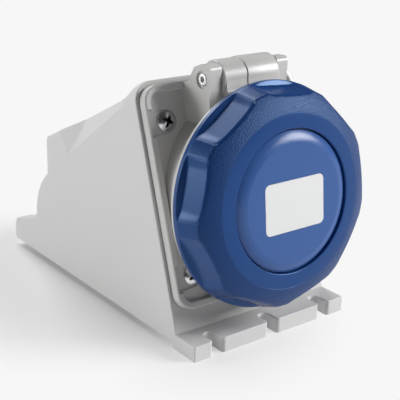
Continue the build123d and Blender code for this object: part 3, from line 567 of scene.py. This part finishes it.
def ringBody():
    # the section turned about the axis; where it is wider than the grip cuts, they cut it back,
    # from nothing to their full depth over stepSoft, as s^2 (3 - 2 s)
    size = lockRing
    section = ringSection()
    angle = np.linspace(0, 360, size["steps"], endpoint=False)[None]
    radius = section[:, :1] + 0 * angle
    along = section[:, 1:] + 0 * angle
    ahead = np.clip((along - size["cutStart"]) / size["stepSoft"], 0, 1)
    ahead = ahead ** 2 * (3 - 2 * ahead)
    grip = gripRadius(angle, along)
    cut = np.minimum(softMin(radius, grip, size["edgeSoft"]), radius)
    outer = radius > size["bore"] + size["boreWall"]
    depth = np.where(outer, (radius - cut) * ahead, 0)
    radius = radius - depth
    turn = np.radians(angle)
    points = onCollar(radius * np.cos(turn), radius * np.sin(turn), along).reshape(-1, 3)
    faces = gridFaces(len(section), size["steps"], closeRows=True)
    cone = section[:, :1] > size["stepRadius"] + size["coneIn"]
    cone = cone & (section[:, 1:] > size["crownFront"] - size["coneBack"])
    rim = section[:, :1] > size["crownRadius"] - size["rimIn"]
    grain = np.where(cone, 1.0, np.where(rim, size["rimGrain"], 0.0))
    grain = grain * (depth < size["bareDepth"])
    return points, faces, grain.ravel()


def makeLockRing():
    # the ring's body with its lugs, which are bare of grain
    size = lockRing
    points, faces, grain = ringBody()
    lugs = [
        arcBlock(size["lugInner"], size["bore"] + size["lugSink"], size["back"],
                 size["back"] + size["lugThickness"], centre, size["lugSpread"],
                 size["lugSoft"])
        for centre in size["lugAngles"]
    ]
    points, faces = joined([(points, faces), *lugs])
    piece = meshPiece("lockRing", points, faces, materials["ringBlue"], "ring")
    paint(piece, "grain", np.concatenate([grain, np.zeros(len(points) - len(grain))]))
    outward(piece)
    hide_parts("lock_ring")


makeLockRing()
print("scene: lock ring")

# Lid arm, in mm and degrees: disc, pillars and pads as radius and place along the collar's axis,
# the barrel about the pin, and the web's places as (up, along) of the collar
lidArm = {
    "discInner": 40.2, "discOuter": 49.1, "discBack": 19.0, "discFront": 22.5,
    "discSoft": 0.45, "discSteps": 360,
    "pinUp": 108.5, "pinOut": 18.8, "bore": 2.45, "pocket": 5.8, "barrel": 8.4,
    "halfLength": 15.4, "seam": -2.75, "seamStep": 0.1, "slim": 0.4,
    # rounding of the barrel's corners, in the order of barrelSection
    "barrelSoft": (0.1, 0.1, 0.2, 0.7, 0.08, 0.25, 0.7, 0.2), "barrelSteps": 96,
    "webHalf": 14.5, "webStations": 3,
    "webFront": [(53.5, 12.0), (52.6, 16.45), (50.0, 16.5), (47.8, 16.6), (46.6, 17.1),
                 (45.9, 18.1), (45.7, 20.5)],
    "webRear": [(51.0, 7.5), (48.5, 8.9), (46.4, 11.0), (44.8, 13.2), (43.4, 15.6),
                (42.2, 18.0), (41.4, 20.5)],
    "pillarOuter": 42.4, "pillarBack": 20.0, "pillarFront": 31.5, "pillarSpread": 44.0,
    "padInner": 36.0, "padBack": 30.5, "padFront": 33.0, "padSpread": 22.0,
    "pillarAngles": (108.5, 228.5, 348.5), "soft": 0.4, "sharp": 38,
}


def onPin(up, out, along):
    # places about the hinge pin: up and out of the sloping face, and across along the pin
    return onFace(along, up + lidArm["pinUp"], out + lidArm["pinOut"])


def barrelSection():
    # outline (radius, along the pin): hollow for the spring and slimmer up to the seam, then full
    size = lidArm
    seam, end = size["seam"], size["halfLength"]
    thin = size["barrel"] - size["slim"]
    corners = [
        (size["bore"], seam), (size["pocket"], seam), (size["pocket"], -end), (thin, -end),
        (thin, seam), (size["barrel"], seam + size["seamStep"]), (size["barrel"], end),
        (size["bore"], end),
    ]
    return roundedOutline(corners, size["barrelSoft"])


def webMesh(low, high, setBack):
    # the web between barrel and disc: its outline, with the front set back, carried across
    front = np.array(lidArm["webFront"]) - np.array((0.0, setBack))
    outline = np.vstack([front, np.array(lidArm["webRear"])[::-1]])
    stations = lidArm["webStations"]
    across = np.linspace(low, high, stations)[None]
    points = onCollar(across, outline[:, :1] + 0 * across, outline[:, 1:] + 0 * across)
    return points.reshape(-1, 3), sweptFaces(len(outline), stations)


def makeLidArm():
    # disc behind the ring, barrel on the pin, web with a thinner left part, pillars and pads
    size = lidArm
    disc = barSection(size["discInner"], size["discOuter"], size["discBack"],
                      size["discFront"], size["discSoft"])
    parts = [
        turnedMesh(disc, size["discSteps"], onCollar),
        turnedMesh(barrelSection(), size["barrelSteps"], onPin),
        webMesh(-size["webHalf"], size["seam"], size["slim"]),
        webMesh(size["seam"], size["webHalf"], 0.0),
    ]
    for centre in size["pillarAngles"]:
        parts.append(arcBlock(size["discInner"], size["pillarOuter"], size["pillarBack"],
                              size["pillarFront"], centre, size["pillarSpread"], size["soft"]))
        parts.append(arcBlock(size["padInner"], size["pillarOuter"], size["padBack"],
                              size["padFront"], centre, size["padSpread"], size["soft"]))
    piece = meshPiece("lidArm", *joined(parts), materials["flangeGrey"], "lid")
    outward(piece, sharp=size["sharp"])
    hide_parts("lid_arm")


makeLidArm()
print("scene: lid arm")

# Flange screws, in mm and degrees on the sloping face, with a cross recess in a domed head
flangeScrew = {
    "across": 33.0, "middle": 59.0, "spacing": 69.0, "turns": (28.0, 62.0, 15.0, 40.0),
    "head": 4.5, "seat": 2.6, "height": 2.7, "edge": 0.8, "edgeIn": 0.1,
    "shank": 2.0, "tip": -14.0, "point": 1.0, "hub": 0.02,
    # cross: depth, length and half width of an arm, how fast it narrows, the width of its walls,
    # the share of its length that slopes up, and how fast painted shade darkens it with depth
    "recess": 2.0, "reach": 3.1, "armHalf": 0.85, "armTaper": 0.16, "wall": 0.16,
    "armSlope": 0.35, "paintedShadeRate": 2.0,
    "rings": 44, "steps": 96, "sharp": 50,
}


def screwMesh(across, up, turn):
    # rings of the head from its middle out, then the shank; the head is a part of a sphere,
    # height = top - sphere + sqrt(sphere^2 - radius^2), less the depth of the cross, which is
    # the deeper of two arms
    size = flangeScrew
    radius = np.linspace(size["hub"], size["head"], size["rings"])[:, None]
    angle = np.linspace(0, 2 * math.pi, size["steps"], endpoint=False)[None]
    drop = size["height"] - size["edge"]
    sphere = (size["head"] ** 2 + drop ** 2) / (2 * drop)
    height = size["seat"] + size["height"] - sphere
    height = height + np.sqrt(sphere ** 2 - radius ** 2) + 0 * angle
    first = np.abs(radius * np.cos(angle - math.radians(turn)))
    second = np.abs(radius * np.sin(angle - math.radians(turn)))
    depth = 0 * first
    for alongArm, aside in ((first, second), (second, first)):
        half = size["armHalf"] - size["armTaper"] * alongArm
        inArm = np.clip((half - aside) / size["wall"] + 0.5, 0, 1)
        slope = np.clip((size["reach"] - alongArm) / (size["armSlope"] * size["reach"]), 0, 1)
        depth = np.maximum(depth, inArm * slope * size["recess"])
    height = height - depth
    # painted shade in the cross, full from half the recess's depth down
    shade = np.clip(size["paintedShadeRate"] * depth / size["recess"], 0, 1)
    lower = np.array([
        (size["head"], size["seat"] + size["edge"] / 2),
        (size["head"] - size["edgeIn"], size["seat"]), (size["shank"], size["seat"]),
        (size["shank"], size["tip"]), (size["hub"], size["tip"] - size["point"]),
    ])
    radius = np.vstack([radius + 0 * angle, lower[:, :1] + 0 * angle])
    height = np.vstack([height, lower[:, 1:] + 0 * angle])
    shade = np.vstack([shade, np.zeros((len(lower), size["steps"]))])
    points = onFace(across + radius * np.cos(angle), up + radius * np.sin(angle), height)
    faces = gridFaces(len(radius), size["steps"], closeRows=True)
    return points.reshape(-1, 3), faces, shade.ravel()


def makeScrews():
    # one at each corner of the flange, each turned by its own angle
    size = flangeScrew
    places = [(side, end) for side in (-1, 1) for end in (-1, 1)]
    screws = [
        screwMesh(side * size["across"], size["middle"] + end * size["spacing"] / 2, turn)
        for (side, end), turn in zip(places, size["turns"])
    ]
    parts = [(points, faces) for points, faces, _ in screws]
    piece = meshPiece("flangeScrews", *joined(parts), materials["screwChrome"], "root")
    # the crosses' painted shade, which the metals read as recess
    paint(piece, "recess", np.concatenate([shade for _, _, shade in screws]))
    outward(piece, sharp=size["sharp"])
    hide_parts("flange_screws")


makeScrews()
print("scene: flange screws")

# Facet ends, in mm and degrees: a shallow wedge eases the step between each facet and the entry
# block. It starts at y and z on the crease between side wall and facet; up is square to the
# crease, ahead runs along it, the wedge gets lower by fall for each mm ahead, and its hidden
# side lies in the solid by sink
facetEnd = {
    "half": 45.0, "y": 91.6, "z": 66.97, "slope": 35.41, "lean": 21.0,
    "height": 13.2, "fall": 0.171, "reach": 22.0, "sink": 0.1,
}


def makeFacetEnds():
    # four corners (across, up, ahead) and four triangles at each side
    size = facetEnd
    slope, lean = math.radians(size["slope"]), math.tan(math.radians(size["lean"]))
    tip = size["height"] - size["fall"] * size["reach"]
    corners = np.array([
        (size["half"], 0, 0), (size["half"], size["height"], 0),
        (size["half"] - size["height"] * lean - size["sink"], size["height"], -size["sink"]),
        (size["half"] - tip * lean - size["sink"], tip, size["reach"]),
    ])
    across, up, ahead = corners.T
    y = size["y"] + up * math.sin(slope) - ahead * math.cos(slope)
    z = size["z"] + up * math.cos(slope) + ahead * math.sin(slope)
    wedge = np.array([(0, 1, 3), (1, 2, 3), (0, 2, 1), (0, 3, 2)])
    parts = [(inMetres(side * across, y, z), wedge) for side in (-1, 1)]
    piece = meshPiece(
        "facetEnds", *joined(parts), materials["housingGrey"], "root", smooth=False
    )
    outward(piece)


makeFacetEnds()
print("scene: facet ends")

# Hinge pin, in mm: a tube with rolled ends, its corners rounded in the order of makePin
hingePin = {
    "bore": 1.25, "radius": 2.4, "rim": 2.62, "half": 21.7, "rimLength": 0.6,
    "soft": (0.3, 0.45, 0.08, 0.08, 0.08, 0.08, 0.45, 0.3), "steps": 64, "sharp": 50,
}


def makePin():
    # outline (radius, along the pin) turned about the pin's axis
    size = hingePin
    end, neck = size["half"], size["half"] - size["rimLength"]
    corners = [
        (size["bore"], -end), (size["rim"], -end), (size["rim"], -neck),
        (size["radius"], -neck), (size["radius"], neck), (size["rim"], neck),
        (size["rim"], end), (size["bore"], end),
    ]
    section = roundedOutline(corners, size["soft"])
    tube = turnedMesh(section, size["steps"], onPin)
    piece = meshPiece("hingePin", *tube, materials["pinSteel"], "root")
    outward(piece, sharp=size["sharp"])
    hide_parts("hinge_pin")


makePin()
print("scene: hinge pin")

# Ground, in metres: pale, with a white glow that fades towards the shade at the object's left;
# the glow is painted light, which whitens the object's cast shadow elsewhere and lights the
# object a little
ground = {
    "half": 6.0, "color": (0.88, 0.88, 0.88), "roughness": 0.9, "specular": 0.1,
    "white": 0.93, "leastWhite": 0.08, "bounce": 0.3,
    "shade": (-0.03, 0.085, 0.0), "stretch": (1.0, 0.8, 1.0), "near": 0.035, "far": 0.12,
}


def glowShare(tree):
    # how much of the ground is painted glow: more with the stretched distance from the shade's
    # middle, in full for the camera and reflections, and in part as painted light bounced onto
    # the object
    place = addNode(tree, "ShaderNodeTexCoord").outputs["Object"]
    away = addNode(
        tree, "ShaderNodeVectorMath", [(0, place), (1, ground["shade"])], operation="SUBTRACT"
    )
    scaled = addNode(
        tree, "ShaderNodeVectorMath", [(0, away.outputs[0]), (1, ground["stretch"])],
        operation="MULTIPLY",
    )
    distance = addNode(
        tree, "ShaderNodeVectorMath", [(0, scaled.outputs[0])], operation="LENGTH"
    )
    fade = addNode(
        tree, "ShaderNodeMapRange",
        [("Value", distance.outputs["Value"]), ("From Min", ground["near"]),
         ("From Max", ground["far"]), ("To Min", ground["leastWhite"])],
        interpolation_type="SMOOTHSTEP",
    )
    path = addNode(tree, "ShaderNodeLightPath").outputs
    bounce = addNode(
        tree, "ShaderNodeMath", [(0, path["Is Diffuse Ray"]), (1, ground["bounce"])],
        operation="MULTIPLY",
    )
    direct = addNode(
        tree, "ShaderNodeMath", [(0, path["Is Camera Ray"]), (1, path["Is Glossy Ray"])],
        operation="MAXIMUM",
    )
    seen = addNode(
        tree, "ShaderNodeMath", [(0, direct.outputs[0]), (1, bounce.outputs[0])],
        operation="MAXIMUM",
    )
    share = addNode(
        tree, "ShaderNodeMath", [(0, fade.outputs["Result"]), (1, seen.outputs[0])],
        operation="MULTIPLY",
    )
    return share.outputs[0]


def makeFloor():
    # a wide square whose matt surface and glow are mixed by glowShare
    half = ground["half"]
    mesh = bpy.data.meshes.new("floor")
    corners = [(-half, -half, 0), (half, -half, 0), (half, half, 0), (-half, half, 0)]
    mesh.from_pydata(corners, [], [(0, 1, 2, 3)])
    floor = bpy.data.objects.new("floor", mesh)
    bpy.context.scene.collection.objects.link(floor)
    material, tree, shader = startMaterial("floor", ground["color"], ground["roughness"])
    shader.inputs["Specular IOR Level"].default_value = ground["specular"]
    share = glowShare(tree)
    glow = addNode(tree, "ShaderNodeEmission", [("Strength", ground["white"])])
    mix = addNode(
        tree, "ShaderNodeMixShader",
        [("Fac", share), (1, shader.outputs["BSDF"]), (2, glow.outputs["Emission"])],
    )
    tree.links.new(mix.outputs[0], tree.nodes["Material Output"].inputs["Surface"])
    mesh.materials.append(material)


makeFloor()
print("scene: ground")
